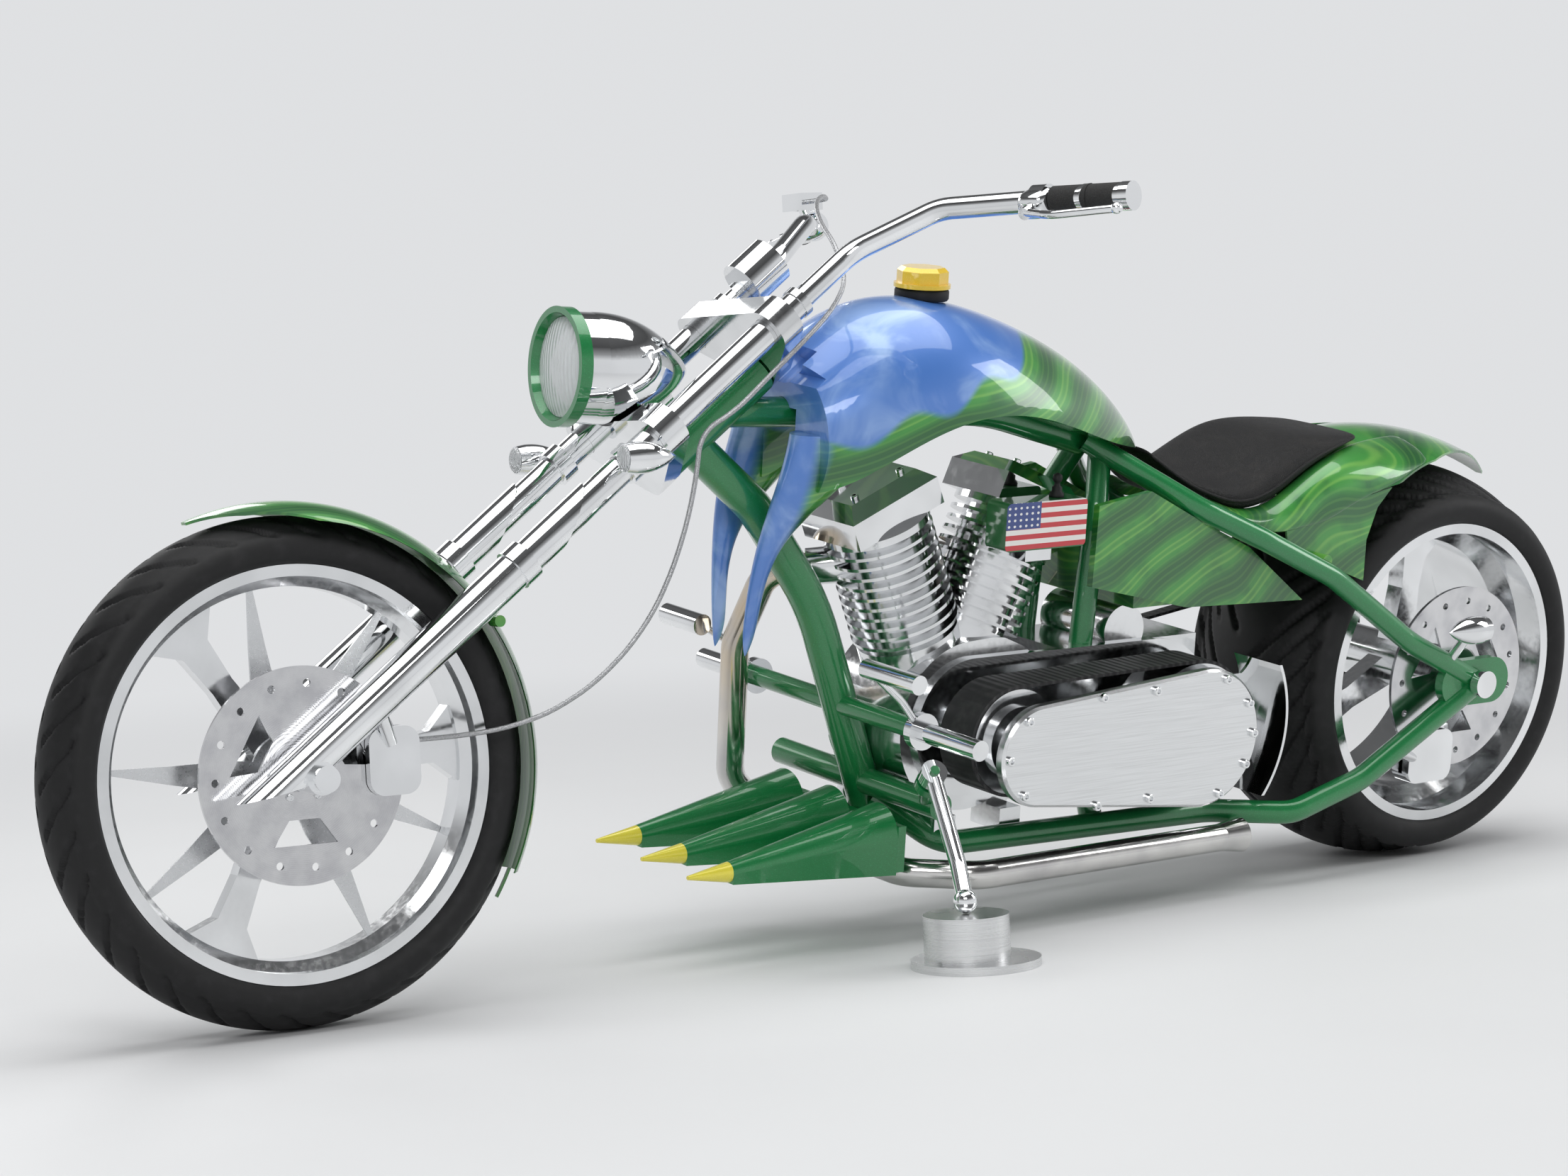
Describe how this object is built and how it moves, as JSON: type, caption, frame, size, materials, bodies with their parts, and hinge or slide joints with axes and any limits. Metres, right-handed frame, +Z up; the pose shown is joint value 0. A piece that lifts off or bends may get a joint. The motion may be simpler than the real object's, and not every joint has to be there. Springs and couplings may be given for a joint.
{
  "type": "chopper motorcycle",
  "caption": "Long raked chopper motorcycle with wide rear tyre, open belt primary drive and forward controls, parked on its side stand.",
  "frame": {"origin": "on the floor under the middle of the parked machine's bounding box", "axes": "+X towards the front wheel, +Y to the machine's left, +Z up"},
  "size_m": [2.7228, 0.9564, 1.1023],
  "materials": {
    "green_paint": "gloss",
    "blue_paint": "gloss",
    "yellow_paint": "gloss",
    "chrome": "polished",
    "aluminium": "polished",
    "satin": "satin",
    "steel": "brushed",
    "stainless": "polished",
    "tyre": "matte",
    "black_rubber": "matte",
    "leather": "satin",
    "glass": "clear"
  },
  "bodies": {
    "chassis": {"frame": "green_paint", "rear_axle": "chrome", "crankcase": "aluminium", "front_cylinder": "aluminium", "rear_cylinder": "aluminium", "front_rocker": "chrome", "rear_rocker": "chrome", "air_cleaner": "chrome", "primary_plate": "aluminium", "primary_belt": "black_rubber", "primary_cover": "satin", "clutch_guard": "chrome", "transmission": "aluminium", "drive_belt": "black_rubber", "exhaust_left": "stainless", "exhaust_right": "stainless", "tank": "blue_paint", "fuel_cap": "yellow_paint", "rear_fender": "green_paint", "seat": "leather", "oil_tank": "green_paint", "electrics_box": "green_paint", "control_left": "chrome", "control_right": "chrome", "snouts": "green_paint", "snout_tips": "yellow_paint", "rear_signals": "chrome", "rear_caliper": "chrome", "puck": "satin"},
    "steering": {"fork_leg_left": "chrome", "fork_leg_right": "chrome", "front_axle": "chrome", "lower_tree": "chrome", "upper_tree": "chrome", "headlight_bowl": "chrome", "headlight_bezel": "green_paint", "headlight_lens": "glass", "handlebar": "chrome", "grips": "black_rubber", "hand_controls": "chrome", "speedometer": "chrome", "fork_signals": "chrome", "front_fender": "green_paint", "front_caliper": "chrome", "front_brake_line": "steel"},
    "front_wheel": {"front_tyre": "tyre", "front_wheel": "aluminium", "front_blades": "satin", "front_disc": "steel"},
    "rear_wheel": {"rear_tyre": "tyre", "rear_wheel": "aluminium", "rear_disc": "steel", "rear_pulley": "aluminium"},
    "side_stand": {"side_stand": "chrome"}
  },
  "joints": [
    {"name": "steering", "type": "hinge", "parent": "chassis", "child": "steering", "pos_m": [0.35444, -0.04672, 0.78293], "axis": [-0.7988, 0.0952, 0.594], "range_deg": [-13.2, 38.8]},
    {"name": "front_spin", "type": "hinge", "parent": "steering", "child": "front_wheel", "pos_m": [1.0199, -0.12717, 0.34394], "axis": [0.1333, 0.9909, 0.0205], "continuous": true},
    {"name": "rear_spin", "type": "hinge", "parent": "chassis", "child": "rear_wheel", "pos_m": [-1.03942, -0.12066, 0.32084], "axis": [0.0001, 0.9874, -0.1582], "continuous": true},
    {"name": "stand_fold", "type": "hinge", "parent": "chassis", "child": "side_stand", "pos_m": [0.0846, 0.0938, 0.25648], "axis": [0.2996, 0.7602, 0.5765], "range_deg": [0, 78]}
  ]
}
